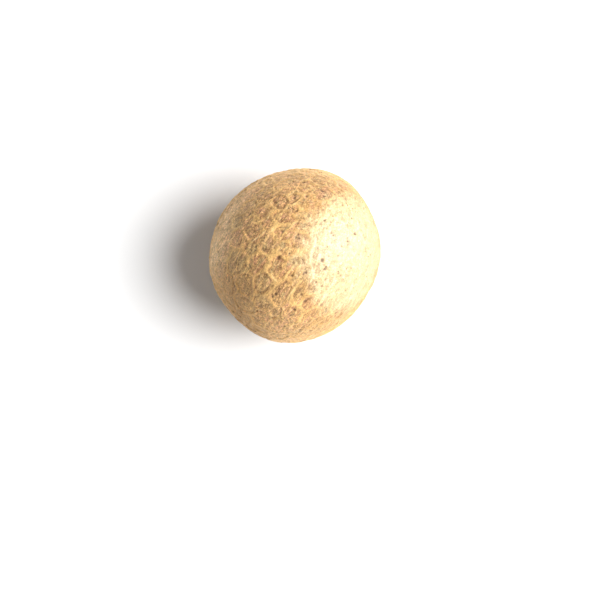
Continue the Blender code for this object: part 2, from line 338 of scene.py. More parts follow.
# Pits that show from above: right of and above the middle, radius, all in millimetres, and darkness
SEEN_PITS = (
    (4.9, -1.1, 0.4, 1.0), (5.4, -2.7, 0.3, 1.0), (5.6, -2.3, 0.27, 0.9), (3.9, -5.1, 0.27, 0.7),
    (4.9, -5.8, 0.27, 0.6), (10.4, 3.6, 0.32, 0.9), (9.2, 2.3, 0.25, 0.7), (9.1, 2.9, 0.22, 0.6),
    (9.3, 1.8, 0.2, 0.5), (6.3, 3.7, 0.24, 0.7), (6.7, 3.3, 0.24, 0.7), (8.0, 8.3, 0.25, 0.6),
    (1.7, -1.7, 0.25, 0.7), (2.0, -3.3, 0.29, 0.8), (-0.5, -3.9, 0.31, 0.8), (0.4, 7.6, 0.24, 0.9),
    (0.5, 5.4, 0.25, 0.9), (0.8, 5.9, 0.2, 0.6), (5.1, 5.8, 0.27, 0.8), (4.4, 5.2, 0.25, 0.5),
    (1.2, -7.4, 0.27, 0.9), (2.9, -6.4, 0.22, 0.7), (3.6, -9.4, 0.22, 0.6), (1.9, -8.6, 0.4, 0.7),
    (2.5, -8.2, 0.36, 0.5), (4.7, 10.7, 0.36, 0.8), (4.9, 9.8, 0.25, 0.7), (7.8, 10.7, 0.22, 0.5),
    (7.9, 9.8, 0.22, 0.5), (8.3, -3.9, 0.22, 0.5), (9.6, -3.8, 0.2, 0.4), (-0.1, 9.9, 0.29, 0.8),
    (0.0, 10.4, 0.25, 0.7), (1.5, 12.5, 0.29, 0.6), (2.0, 11.7, 0.24, 0.5), (5.7, 13.4, 0.22, 0.5),
    (-0.1, -10.1, 0.29, 0.8), (-0.7, -11.1, 0.29, 0.6), (-2.9, -6.3, 0.24, 0.7),
    (-3.5, -7.2, 0.2, 0.9), (-3.2, -8.7, 0.24, 0.7), (-6.6, -4.0, 0.2, 0.9),
    (-5.5, -4.2, 0.2, 0.9), (-5.1, -3.6, 0.18, 0.6), (-6.9, -10.3, 0.22, 0.8),
    (-4.1, -11.5, 0.22, 0.8), (-2.4, -11.6, 0.22, 0.6), (-1.9, -13.0, 0.25, 0.7),
    (-7.2, 5.2, 0.27, 0.7), (-8.9, 2.4, 0.2, 0.8), (-7.4, 2.2, 0.24, 0.7), (-5.3, 1.0, 0.22, 0.7),
    (-2.4, 2.5, 0.2, 0.6), (-2.9, 0.6, 0.2, 0.6), (-2.9, -0.7, 0.36, 0.8), (-1.6, -5.0, 0.29, 0.5),
    (-3.6, 9.3, 0.18, 0.7), (-2.9, 10.3, 0.18, 0.6), (-3.2, 8.7, 0.18, 0.5),
    (-5.5, 9.0, 0.16, 0.7), (-10.7, 5.2, 0.24, 0.5), (-10.3, -1.8, 0.22, 0.5),
    (-15.3, -0.4, 0.16, 0.9),
)

# Cells that stand out from above: right of and above the middle in millimetres, then darkness,
# redness and greenness
SEEN_CELLS = (
    (-2.1, -2.4, 0.75, 0.45, 0.0), (-6.0, -5.3, 0.6, 0.0, 0.8),
    (-6.9, -1.2, 0.6, 0.6, 0.0), (-7.7, 4.4, 0.6, 0.5, 0.25),
    (0.6, 2.7, 0.7, 0.5, 0.0), (-1.8, 1.3, 0.6, 0.2, 0.2),
    (-5.4, 1.7, 0.5, 0.0, 0.5), (-9.4, -5.0, 0.6, 0.05, 0.6),
    (-2.6, -6.8, 0.6, 0.2, 0.25), (-10.6, 2.7, 0.6, 0.85, 0.0),
    (-10.6, 5.8, 0.45, 0.0, 0.85), (-10.6, -1.0, 0.5, 0.0, 0.75),
    (-5.4, 5.4, 0.65, 0.55, 0.0), (1.6, 12.4, 0.6, 0.2, 0.0),
    (5.0, 10.6, 0.75, 0.8, 0.0), (2.1, -8.7, 0.55, 0.8, 0.0),
    (-0.9, -10.5, 0.75, 0.6, 0.0), (-3.0, 9.2, 0.75, 0.45, 0.0),
)


def way_of(heading, rise):
    """Unit direction from a heading round +Z and a rise over the level."""
    flat = math.cos(rise)
    return Vector((math.cos(heading) * flat, math.sin(heading) * flat, math.sin(rise)))


GROWTH = way_of(GROWTH_HEADING, GROWTH_LEAN)
SIDE = GROWTH.orthogonal().normalized()


def smooth_step(low, high, value):
    share = np.clip((value - low) / (high - low), 0.0, 1.0)
    return share * share * (3 - 2 * share)


def hill(gap):
    """One at no gap, falling to nothing a few gaps away."""
    return np.exp(-(gap**2))


def unit(rows):
    return rows / np.linalg.norm(rows, axis=1)[:, None]


def noise_of(points, size, shift):
    """Smooth noise from about -1 to 1 at each point, its waves about one size across."""
    places = points / size + shift
    return np.array([noise.noise(place) for place in places]) * NOISE_GAIN


def waves_of(places, name):
    """Sum of the noise waves that have a name, at each place."""
    return sum(noise_of(places, size * MM, shift) * share for size, shift, share in WAVES[name])


def drift_of(points, size, shift):
    """A smooth drift in three directions at each point."""
    places = points / size + shift
    return np.array([noise.noise_vector(place) for place in places])


def tree_of(points):
    tree = KDTree(len(points))
    for i, point in enumerate(points):
        tree.insert(point, i)
    tree.balance()
    return tree


def nearest(tree, points):
    """Index of and distance to the nearest point of a tree, for each point."""
    found = [tree.find(point)[1:] for point in points]
    return np.array([f[0] for f in found]), np.array([f[1] for f in found])


def ball_mesh():
    """A ball of nearly even quads, its vertices unit directions."""
    mesh = bmesh.new()
    bmesh.ops.create_cube(mesh, size=2.0)
    bmesh.ops.subdivide_edges(mesh, edges=mesh.edges[:], cuts=ROWS - 1, use_grid_fill=True)
    for vert in mesh.verts:
        vert.co = Vector(math.tan(share * math.pi / 4) for share in vert.co).normalized()
    return mesh


class PackedNut:
    """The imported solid, read for the crests of its veins, its cells and its body."""

    def __init__(self, node):
        self.mesh = bmesh.new()
        self.mesh.from_mesh(node.data)
        bmesh.ops.remove_doubles(self.mesh, verts=self.mesh.verts, dist=WELD)
        self.mesh.faces.ensure_lookup_table()
        self.mesh.faces.index_update()
        self.surface = BVHTree.FromBMesh(self.mesh)
        crests = [edge for edge in self.mesh.edges if self.is_crest(edge)]
        corners = {vert for edge in crests for vert in edge.verts}
        places = np.array([vert.co - MIDDLE for vert in corners])
        self.corner_reach = np.linalg.norm(places, axis=1)
        self.corner_ways = places / self.corner_reach[:, None]
        self.crest_points = np.array([p for edge in crests for p in self.along(edge)])
        self.crest_tree = tree_of(self.crest_points)
        self.corner_tree = tree_of([vert.co for vert in corners])
        self.cell_of_face = self.flood(set(crests))

    def is_crest(self, edge):
        if not edge.is_manifold or min(v.co.z for v in edge.verts) < WELD:
            return False
        return edge.calc_face_angle_signed(0.0) > CREST_ANGLE

    def along(self, edge):
        first, last = (vert.co for vert in edge.verts)
        steps = max(int((last - first).length / CREST_STEP), 1)
        return [tuple(first.lerp(last, i / steps)) for i in range(steps + 1)]

    def flood(self, crests):
        """Number of the cell that each face belongs to: faces with no crest between them."""
        cell_of = [-1] * len(self.mesh.faces)
        count = 0
        for start in self.mesh.faces:
            if cell_of[start.index] >= 0:
                continue
            cell_of[start.index] = count
            wave = [start]
            while wave:
                face = wave.pop()
                for edge in face.edges:
                    if edge in crests:
                        continue
                    for other in edge.link_faces:
                        if cell_of[other.index] < 0:
                            cell_of[other.index] = count
                            wave.append(other)
            count += 1
        self.cell_count = count
        return np.array(cell_of)

    def body_reach(self, ways):
        """Distance from the middle to the tops of the veins: a local plane through the crests."""
        ones = np.ones((len(self.corner_ways), 1))
        terms = np.hstack([ones, self.corner_ways])
        squares = (terms[:, :, None] * terms[:, None, :]).reshape(len(terms), 16)
        sides = terms * self.corner_reach[:, None]
        found = []
        for start in range(0, len(ways), CHUNK):
            part = ways[start : start + CHUNK]
            weights = np.exp((part @ self.corner_ways.T - 1) / BODY_SPREAD**2)
            weights /= weights.sum(axis=1)[:, None]
            matrix = (weights @ squares).reshape(-1, 4, 4) + np.eye(4) * BODY_EASE
            plane = np.linalg.solve(matrix, (weights @ sides)[:, :, None])[:, :, 0]
            found.append(plane[:, 0] + (plane[:, 1:] * part).sum(axis=1))
        return np.concatenate(found)

    def hits(self, ways):
        """Reach and cell of the solid's surface along each direction."""
        reach, cell = [], []
        for way in ways:
            _, _, face, distance = self.surface.ray_cast(MIDDLE, Vector(way))
            reach.append(distance)
            cell.append(self.cell_of_face[face])
        return np.array(reach), np.array(cell)


def way_seen_from_above(right, up):
    """Unit direction of the point of the nut's top that lies over a place in plan."""
    place = Vector((right * MM, up * MM, 0))
    height = math.sqrt(max(BODY_RADIUS**2 - place.length_squared, (0.1 * BODY_RADIUS) ** 2))
    return (place + Vector((0, 0, height))).normalized()


def curve_through(points, step):
    """Points at even steps on a smooth curve through the given ones."""
    points = [points[0] * 2 - points[1], *points, points[-1] * 2 - points[-2]]
    found = []
    for a, b, c, d in zip(points, points[1:], points[2:], points[3:]):
        count = max(int((c - b).length / step), 1)
        for i in range(count):
            t = i / count
            bend = (a * 2 - b * 5 + c * 4 - d) * t + (b * 3 - a - c * 3 + d) * t * t
            found.append(b + ((c - a) + bend) * t / 2)
    return found


def seen_curves(lines, width):
    """Curves over the top of the ball along lines that show from above."""
    for points in lines:
        ways = [way_seen_from_above(x, y) * BODY_RADIUS for x, y in points]
        yield curve_through(ways, CURVE_STEP), width, 1.0


def fan_fibres(settings):
    """Curves that fan out over the ball from the lip of the hilum."""
    draw = np.random.default_rng(settings.seed + 3)
    for i in range(FAN_COUNT):
        round_axis = TURN * (i + draw.uniform(-0.4, 0.4)) / FAN_COUNT
        start, length = draw.uniform(*FAN_START) * MM, draw.uniform(*FAN_LENGTH) * MM
        bend, width = draw.uniform(-0.5, 0.5), draw.uniform(*FAN_FIBRE_WIDTH) * MM
        points = []
        for k in range(int(length / CURVE_STEP)):
            down = (start + k * CURVE_STEP) / BODY_RADIUS
            out = Matrix.Rotation(round_axis + bend * k * CURVE_STEP / length, 3, GROWTH) @ SIDE
            points.append((out * math.sin(down) - GROWTH * math.cos(down)) * BODY_RADIUS)
        yield points, width, draw.uniform(0.5, 1.0)


def wild_fibres(settings):
    """Curves that run from base to apex with a slight wander, all over the ball."""
    draw = np.random.default_rng(settings.seed)
    for _ in range(settings.fibre_count):
        down = math.acos(draw.uniform(-0.97, 0.97))
        round_axis = draw.uniform(0, TURN)
        length = draw.uniform(*WILD_LENGTH) * MM
        slant, swing = draw.normal(0, WILD_SLANT), draw.uniform(*WILD_SWING)
        wave, phase = draw.uniform(*WILD_WAVE) * MM, draw.uniform(0, TURN)
        width, strength = draw.uniform(*WILD_FIBRE_WIDTH) * MM, draw.uniform(0.35, 1.0)
        points = []
        for i in range(int(length / CURVE_STEP)):
            out = Matrix.Rotation(round_axis, 3, GROWTH) @ SIDE
            points.append((GROWTH * math.cos(down) + out * math.sin(down)) * BODY_RADIUS)
            heading = slant + swing * math.sin(i * CURVE_STEP / wave * 2 + phase)
            down += math.cos(heading) * CURVE_STEP / BODY_RADIUS
            round_axis += math.sin(heading) * CURVE_STEP / (BODY_RADIUS * max(math.sin(down), 0.15))
            if down > math.pi - 0.16:
                break
        if len(points) > 3:
            yield points, width, strength


def curve_field(places, curves):
    """Strength from 0 to 1 of the nearest of some curves at each place on the ball."""
    points, widths, strengths = [], [], []
    for curve, width, strength in curves:
        ends = np.sin(np.linspace(0.12, math.pi - 0.12, len(curve))) ** 0.5
        points += curve
        widths += [width] * len(curve)
        strengths += list(strength * ends)
    index, gap = nearest(tree_of(points), places)
    width = np.array(widths)[index]
    return np.array(strengths)[index] * (1 - smooth_step(0.35, 1.3, gap / width))


def fibre_field(places, settings):
    curves = list(seen_curves(SEEN_FIBRES, FIBRE_WIDTH))
    curves += fan_fibres(settings)
    curves += wild_fibres(settings)
    return curve_field(places, curves)


def hair_field(places):
    """Strength from 0 to 1 of the palest hairs at each place on the ball."""
    broken = smooth_step(-0.30, 0.30, waves_of(places, "hair gaps"))
    return curve_field(places, seen_curves(SEEN_HAIRS, HAIR_WIDTH)) * (0.3 + 0.7 * broken)


def blot_field(places):
    """Strength from 0 to 1 of the golden blots at each place on the ball."""
    field = np.zeros(len(places))
    ragged = 1 + waves_of(places, "blot edge")
    for right, up, radius in SEEN_BLOTS:
        middle = np.array(way_seen_from_above(right, up)) * BODY_RADIUS
        gap = np.linalg.norm(places - middle, axis=1) / (radius * MM)
        field = np.maximum(field, 1 - smooth_step(0.6, 1.25, gap * ragged))
    return field


def pit_field(places, settings):
    """Darkness from 0 to 1 of the pits at each place on the ball."""
    draw = np.random.default_rng(settings.seed + 1)
    points, sizes, darks = [], [], []
    for right, up, radius, dark in SEEN_PITS:
        points.append(way_seen_from_above(right, up) * BODY_RADIUS)
        sizes.append(radius * MM)
        darks.append(min(dark * 1.25, 1.0))
    for way in unit(draw.normal(size=(settings.pit_count, 3))):
        points.append(Vector(way) * BODY_RADIUS)
        sizes.append(draw.uniform(*PIT_RADIUS) * MM)
        darks.append(draw.uniform(*PIT_DARKNESS))
    index, gap = nearest(tree_of(points), places)
    size = np.array(sizes)[index]
    return np.array(darks)[index] * (1 - smooth_step(0.4, 1.35, gap / size))


def crack_field(turn, from_base, settings):
    """Strength from 0 to 1 of the cracks across the hilum, each of its own heading and length."""
    draw = np.random.default_rng(settings.seed + 5)
    field = np.zeros(len(turn))
    for i in range(CRACK_COUNT):
        heading = TURN * (i + draw.uniform(-0.4, 0.4)) / CRACK_COUNT
        start, end = draw.uniform(*CRACK_START) * MM, draw.uniform(*CRACK_END) * MM
        half_width, phase = draw.uniform(*CRACK_HALF_WIDTH) * MM, draw.uniform(0, TURN)
        bend = 0.09 * np.sin(from_base / (0.6 * MM) + phase)
        turned = (turn - heading - bend + math.pi) % TURN - math.pi
        aside = from_base * np.abs(turned) / half_width
        reached = smooth_step(start - 0.3 * MM, start + 0.3 * MM, from_base)
        reached *= 1 - smooth_step(end - 1.2 * MM, end, from_base)
        field = np.maximum(field, (1 - smooth_step(0.4, 1.5, aside)) * reached)
    return field


def cell_tints(nut, ways, cells, settings):
    """Darkness, redness and greenness of each cell."""
    draw = np.random.default_rng(settings.seed + 2)
    tints = draw.uniform(0, 1, size=(nut.cell_count, 3))
    least, most = CELL_DARKNESS
    tints[:, 0] = least + (most - least) * tints[:, 0]
    lean = draw.uniform(-1, 1, size=nut.cell_count)
    tints[:, 1] = np.clip(lean, 0, 1) * CELL_TINT
    tints[:, 2] = np.clip(-lean, 0, 1) * CELL_TINT
    for right, up, *tint in SEEN_CELLS:
        gaps = ways @ np.array(way_seen_from_above(right, up))
        tints[cells[gaps.argmax()]] = tint
    return tints


def cell_drops(nut, sunk, cells, settings):
    """Depth of each cell under the tops of its veins."""
    draw = np.random.default_rng(settings.seed + 4)
    drop = np.zeros(nut.cell_count)
    np.maximum.at(drop, cells, sunk)
    return np.minimum(drop, DEEPEST_CELL) * draw.uniform(*DEPTH_SPREAD, nut.cell_count)


def broad_areas(places):
    """How much darker, paler and browner the skin is at each place, from the broad areas: painted
    shade, painted rim light and browner painted shade.
    """
    fields = np.zeros((3, len(places)))
    for right, up, reach, *amounts in AREAS:
        middle = np.array(way_seen_from_above(right, up)) * BODY_RADIUS
        squares = ((places - middle) ** 2).sum(axis=1)
        fields += np.outer(amounts, np.exp(-squares / (reach * MM) ** 2))
    return fields[0], np.clip(fields[1], 0, 1), np.clip(fields[2], 0, 1)


def strayed_ways(places, wander):
    """Directions to read the solid's net along, so that its straight veins wander."""
    drift = sum(
        drift_of(places, size * MM, shift) * wander * share for size, shift, share in WANDER_WAVES
    )
    return unit(places + drift)


def patch_fields(ways, places):
    """Strength of the pale patch with its painted highlight, and of the calm it paints in and near
    it.
    """
    off_patch = 1 - ways @ np.array(PATCH_MIDDLE)
    ragged = waves_of(places, "patch edge")
    highlight_patch = 1 - smooth_step(PATCH_CORE, PATCH_EDGE, off_patch + ragged)
    highlight_patch *= smooth_step(0.0, 0.4, ways[:, 2] + ragged * 2)
    near_patch = 1 - smooth_step(PATCH_EDGE, SOFT_EDGE, off_patch)
    near_patch *= NEAR_PATCH_CALM * (ways[:, 2] > 0)
    return highlight_patch, np.maximum(highlight_patch, near_patch)


def vein_fields(places, to_corner, hidden, on_top, settings):
    """Half width, firmness and strength of the veins."""
    knot = hill(to_corner / settings.knot_reach)
    plan = places[:, :2] / MM - np.array(CLEAREST_NET)
    clear = hill(np.hypot(plan[:, 0], plan[:, 1]) / CLEAR_REACH) * on_top
    width = 1 + waves_of(places, "vein width") + settings.knot_swell * knot + CLEAR_SWELL * clear
    width = settings.vein_half_width * np.maximum(width, LEAST_WIDTH)
    width *= 1 - HIDDEN_THINNING * hidden
    firm = smooth_step(-0.45, 0.65, waves_of(places, "vein firmness"))
    firm = np.maximum(firm, HIDDEN_FIRMNESS * hidden)
    shows = smooth_step(-0.3, 0.4, waves_of(places, "vein strength"))
    shows = np.maximum.reduce([LEAST_SHOWN + (1 - LEAST_SHOWN) * shows, clear, hidden])
    strength = (LEAST_STRENGTH + FIRM_STRENGTH * firm) * shows + HIDDEN_STRENGTH * hidden
    return width, firm, np.clip(strength, 0, 1)


def hilum_fields(ways, from_base, ragged, settings):
    """The hilum's scar, dish, boss, lip, moat, rays and cracks, each from 0 to 1."""
    turn = np.arctan2(
        ways @ np.array(SIDE), ways @ np.array(GROWTH.cross(GROWTH.orthogonal()).normalized())
    )
    share = from_base / HILUM_RADIUS
    past = (from_base - HILUM_RADIUS) / MM
    scar = 1 - smooth_step(*SCAR_EDGE, share)
    return {
        "scar": scar,
        "dish": 1 - smooth_step(*DISH_EDGE, share),
        "boss": hill(from_base / BOSS_RADIUS),
        "lip": hill((past - LIP + 0.15 * ragged) / LIP_WIDTH),
        "moat": hill((past - MOAT + 0.20 * ragged) / MOAT_WIDTH),
        "ray": (0.5 + 0.5 * np.sin(turn * RAY_COUNT + ragged * 2.5)) * scar,
        "crack": crack_field(turn, from_base, settings),
    }


def skin_fields(ways, settings):
    """Reach of the skin and the fields that its colours follow, for each direction."""
    nut = PackedNut(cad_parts[NODE])
    body = nut.body_reach(ways)
    solid_reach, cells = nut.hits(ways)
    places = ways * BODY_RADIUS
    noise.seed_set(settings.seed + 6)
    strayed = strayed_ways(places, settings.wander)
    _, strayed_cells = nut.hits(strayed)
    strayed = strayed * nut.body_reach(strayed)[:, None] + np.array(MIDDLE)
    crest, gap = nearest(nut.crest_tree, strayed)
    off_crest = (strayed - nut.crest_points[crest]) / np.maximum(gap, 1e-9)[:, None]
    _, to_corner = nearest(nut.corner_tree, strayed)
    tints = cell_tints(nut, ways, cells, settings)[strayed_cells]
    drop = cell_drops(nut, np.maximum(body - solid_reach, 0), cells, settings)[strayed_cells]
    nut.mesh.free()

    hidden = smooth_step(HIDDEN_HEIGHT, 0.0, ways[:, 2])
    on_top = ways[:, 2] > 0
    highlight_patch, highlight_wash = patch_fields(ways, places)
    width, firm, vein_strength = vein_fields(places, to_corner, hidden, on_top, settings)
    from_vein = gap / width
    vein = 1 - smooth_step(0.25, 1.25, from_vein)
    from_base = np.arccos(np.clip(-ways @ np.array(GROWTH), -1, 1)) * BODY_RADIUS
    hilum = hilum_fields(ways, from_base, waves_of(places, "hilum edge"), settings)
    scar, dish = hilum["scar"], hilum["dish"]
    fibre = fibre_field(places, settings) * (1 - scar)
    shaded_furrow = curve_field(places, seen_curves(SEEN_FURROWS, FURROW_WIDTH))
    blot, hair, pit = blot_field(places), hair_field(places), pit_field(places, settings)
    grain = waves_of(places, "grain")

    depth = drop * settings.depth_share * (SEEN_DEPTH + HIDDEN_DEPTH * hidden)
    relief = depth * (1 - vein * (0.5 + 0.5 * firm))
    relief -= depth * CELL_RISE * smooth_step(1.0, 3.4, from_vein)
    relief -= settings.fibre_height * (fibre * 0.8 + hair * 0.3)
    relief += settings.grain_height * (0.5 + grain) * (1 - 0.6 * vein) * (1 - 0.5 * highlight_patch)
    from_foot = smooth_step(*FOOT_EDGE, np.hypot(places[:, 0], places[:, 1]))
    relief *= np.where(ways[:, 2] < 0, from_foot, 1.0)
    relief += settings.pit_depth * pit + settings.furrow_depth * shaded_furrow
    relief = np.maximum(relief, 0) + MARGIN
    scar_reach = solid_reach - (0.5 + grain) * SCAR_GRAIN
    scar_reach += (hilum["ray"] - 0.5) * RAY_HEIGHT * dish
    scar_reach -= DISH_DEPTH * dish * (1 - hilum["boss"])
    reach = (body - relief) * (1 - scar) + np.minimum(scar_reach, body) * scar
    reach -= hilum["crack"] * CRACK_DEPTH + hilum["moat"] * MOAT_DEPTH

    # darker is painted shade, paler painted rim light, browner painted shade on the lower-left
    # flank
    darker, paler, browner = broad_areas(places)
    inner = smooth_step(0.5, 1.8, from_vein)
    # Painted shade at the cells' edges beside the veins, strongest where the edge faces away from
    # the key light
    shade_side = np.clip(off_crest @ np.array((0.6, -0.6, 0.2)), 0, 1)
    shown_rim = smooth_step(-0.35, 0.45, waves_of(places, "rim gaps")) * (1 - blot) * (1 - scar)
    # Darkness of the cells: their own tints, the painted shade of the broad areas, and more on the
    # hidden side
    shade = VEIN_SHADE + (tints[:, 0] - VEIN_SHADE) * inner + darker + HIDDEN_DARKNESS * hidden
    return reach, {
        "edge": np.minimum(from_vein, 4.0) + 4.0 * scar,
        "vein": vein_strength * (1 - 0.8 * shaded_furrow),
        # The raised lip of the hilum is painted pale like a fibre: painted highlight on its ridge
        "fibre": np.maximum.reduce([fibre, blot * 0.85, hilum["lip"]]) * (1 - 0.8 * shaded_furrow),
        "hair": hair,
        "rim_shade": (0.15 + 0.85 * shade_side) * shown_rim,
        "painted_shade": darker,
        "shade": np.clip(shade, 0, 1.2),
        "red": tints[:, 1] * inner,
        "green": tints[:, 2] * inner,
        # Painted shade in the furrows and in the moat round the hilum
        "shade_and_specks": np.maximum(shaded_furrow * 0.7 * (1 - blot), hilum["moat"] * 0.8),
        "pit": pit,
        # Painted highlight on the pale patch where the key light falls, and the calm it paints
        # round it
        "highlight_patch": highlight_patch,
        "highlight_wash": highlight_wash,
        # Painted rim light on the left flank, upper side only
        "pale_rim_light": paler * smooth_step(-0.25, 0.25, ways[:, 2]),
        # Painted shade, browner, on the lower flank
        "brown_shade": browner,
        # Dish of the hilum: the scar's own brown, with painted shade in its hollow, less on the
        # boss
        "scar": dish * (1 - 0.6 * hilum["boss"]),
        "ray": hilum["ray"],
        "crack": hilum["crack"],
    }


def skin_mesh(settings):
    """The fine skin of the nut, with its fields stored on its vertices."""
    ball = ball_mesh()
    ways = np.array([vert.co for vert in ball.verts])
    reach, fields = skin_fields(ways, settings)
    places = ways * reach[:, None] + np.array(MIDDLE)
    places[:, 2] = np.maximum(places[:, 2], 0)
    for vert, place in zip(ball.verts, places):
        vert.co = place
    bmesh.ops.recalc_face_normals(ball, faces=ball.faces)
    data = bpy.data.meshes.new(SKIN)
    ball.to_mesh(data)
    ball.free()
    for name, values in fields.items():
        layer = data.attributes.new(name, "FLOAT", "POINT")
        layer.data.foreach_set("value", values.astype(np.float32))
    data.shade_smooth()
    return data


class SkinNodes:
    """Adds the nodes of the skin's material and links them."""

    def __init__(self, material):
        material.use_nodes = True
        self.tree = material.node_tree
        self.shader = self.tree.nodes["Principled BSDF"]
        self.runs = {"even": self.add("ShaderNodeTexCoord").outputs["Object"]}
        for run, stretch in RUNS.items():
            self.runs[run] = self.drawn_out(stretch)
        self.grain = {name: self.noise(*row) for name, row in GRAINS.items()}
        self.highlight_wash = self.field("highlight_wash")

    def add(self, kind, **settings):
        node = self.tree.nodes.new(kind)
        for name, value in settings.items():
            setattr(node, name, value)
        return node

    def feed(self, socket, value):
        if isinstance(value, bpy.types.NodeSocket):
            self.tree.links.new(value, socket)
        else:
            socket.default_value = value

    def drawn_out(self, stretch):
        """Places of the skin, in which a pattern comes out longer along the growth axis."""
        node = self.add("ShaderNodeMapping", vector_type="TEXTURE")
        self.feed(node.inputs["Vector"], self.runs["even"])
        node.inputs["Rotation"].default_value = GROWTH.to_track_quat("X", "Z").to_euler()
        node.inputs["Scale"].default_value = (stretch, 1.0, 1.0)
        return node.outputs["Vector"]

    def field(self, name):
        return self.add("ShaderNodeAttribute", attribute_name=name).outputs["Fac"]

    def math(self, operation, *values, clamp=False):
        node = self.add("ShaderNodeMath", operation=operation, use_clamp=clamp)
        for socket, value in zip(node.inputs, values):
            self.feed(socket, value)
        return node.outputs[0]

    def times(self, first, second):
        return self.math("MULTIPLY", first, second)

    def most(self, first, second):
        return self.math("MAXIMUM", first, second)

    def mix(self, share, first, second):
        node = self.add("ShaderNodeMix", data_type="RGBA", clamp_factor=True)
        self.feed(node.inputs["Factor"], share)
        self.feed(node.inputs["A"], first)
        self.feed(node.inputs["B"], second)
        return node.outputs["Result"]

    def ramp(self, value, low, high, out_low, out_high):
        node = self.add("ShaderNodeMapRange", interpolation_type="SMOOTHSTEP")
        for name, number in zip(
            ("Value", "From Min", "From Max", "To Min", "To Max"),
            (value, low, high, out_low, out_high),
        ):
            self.feed(node.inputs[name], number)
        return node.outputs["Result"]

    def band(self, value, name):
        return self.ramp(value, *BANDS[name])

    def hushed(self, value, least):
        """A value made smaller towards the painted highlight of the pale patch, to its least share
        there.
        """
        return self.times(value, self.ramp(self.highlight_wash, 0.0, 1.0, 1.0, least))

    def noise(self, run, size, detail, roughness, distortion):
        node = self.add("ShaderNodeTexNoise")
        self.feed(node.inputs["Vector"], self.runs[run])
        node.inputs["Scale"].default_value = 1 / (size * MM)
        node.inputs["Detail"].default_value = detail
        node.inputs["Roughness"].default_value = roughness
        node.inputs["Distortion"].default_value = distortion
        return node.outputs["Fac"]

    def dots(self, name):
        """Scattered dots that have a name and a band."""
        run, spacing = DOTS[name]
        node = self.add("ShaderNodeTexVoronoi", feature="F1")
        self.feed(node.inputs["Vector"], self.runs[run])
        node.inputs["Scale"].default_value = 1 / (spacing * MM)
        return self.band(node.outputs["Distance"], name)

    def bump(self, height, distance, normal=None):
        node = self.add("ShaderNodeBump")
        self.feed(node.inputs["Height"], height)
        node.inputs["Distance"].default_value = distance
        if normal is not None:
            self.feed(node.inputs["Normal"], normal)
        return node.outputs["Normal"]


def cell_colour(nodes, colours):
    """Skin of the cells: light or dark, here and there reddish or grey-green."""
    grain = nodes.grain
    darkness = nodes.times(
        nodes.hushed(nodes.field("shade"), 0.45), nodes.band(grain["blotch"], "cell shade")
    )
    broad = nodes.band(grain["mottle"], "broad shade")
    darkness = nodes.math("ADD", darkness, broad, clamp=True)
    skin = nodes.mix(darkness, colours.cell_light, colours.cell_dark)
    redness = nodes.times(nodes.field("red"), nodes.band(grain["wide streak"], "reddish cell"))
    redness = nodes.most(redness, nodes.band(grain["blush"], "blush"))
    skin = nodes.mix(redness, skin, colours.cell_red)
    greenness = nodes.times(nodes.field("green"), nodes.band(grain["blotch"], "greenish cell"))
    greenness = nodes.most(greenness, nodes.band(grain["lichen"], "lichen"))
    return nodes.mix(greenness, skin, colours.cell_green)


def frayed_edge(nodes):
    """Distance from the nearest vein, in its half widths, frayed by the grains."""
    frayed = nodes.field("edge")
    for name, fray in FRAYS.items():
        frayed = nodes.math("ADD", frayed, nodes.ramp(nodes.grain[name], *SPECK_BAND, -fray, fray))
    return frayed


def vein_cover(nodes, frayed):
    """How much of the skin is vein or fibre, and how much is vein, fibre, pale thread or fleck."""
    grain = nodes.grain
    vein = nodes.times(nodes.field("vein"), nodes.band(frayed, "vein"))
    fibre = nodes.times(nodes.field("fibre"), nodes.band(grain["streak"], "fibre"))
    veined = nodes.most(vein, fibre)
    covered = nodes.most(veined, nodes.band(grain["strand"], "pale strand"))
    covered = nodes.most(covered, nodes.band(grain["thread"], "pale thread"))
    fleck = nodes.times(nodes.dots("fleck"), nodes.band(grain["speck"], "fleck places"))
    return veined, nodes.most(covered, fleck)


def dark_marks(nodes, frayed, calm):
    """How much of the skin is painted shade at the cells' edges, in the furrows and in the moat, or
    dark grit, stipple or thread.
    """
    grain = nodes.grain
    rim_shade = nodes.times(nodes.band(frayed, "rim start"), nodes.band(frayed, "rim end"))
    rim_shade = nodes.times(rim_shade, nodes.field("rim_shade"))
    shade_and_specks = nodes.most(nodes.field("shade_and_specks"), rim_shade)
    shade_and_specks = nodes.hushed(nodes.times(shade_and_specks, nodes.band(grain["grit"], "shade_and_specks")), 0.5)
    stipple = nodes.times(nodes.dots("stipple"), nodes.band(grain["blotch"], "stipple places"))
    specks = nodes.most(nodes.band(grain["grit"], "dark grit"), stipple)
    specks = nodes.hushed(nodes.times(specks, calm), 0.40)
    threads = nodes.most(
        nodes.band(grain["strand"], "dark strand"), nodes.band(grain["thread"], "dark thread")
    )
    threads = nodes.hushed(nodes.times(threads, calm), 0.35)
    return nodes.most(nodes.most(shade_and_specks, specks), threads)


def stained(nodes, skin, colours):
    """The skin with its hairs, the painted shade of its browner lower flank, the painted rim light
    of its paler left flank, and the scar of the hilum with painted shade in its dish.
    """
    blotch = nodes.grain["blotch"]
    skin = nodes.mix(nodes.times(nodes.field("hair"), 0.7), skin, colours.hair)
    skin = nodes.mix(nodes.times(nodes.field("brown_shade"), 0.75), skin, colours.brown_shade)
    pale_rim_light = nodes.times(nodes.field("pale_rim_light"), nodes.band(blotch, "pale_rim_light"))
    skin = nodes.mix(pale_rim_light, skin, colours.pale_rim_light)
    scar = nodes.times(nodes.field("scar"), nodes.band(blotch, "scar"))
    scar = nodes.times(scar, nodes.band(nodes.field("ray"), "scar ray"))
    return nodes.mix(scar, skin, colours.scar)


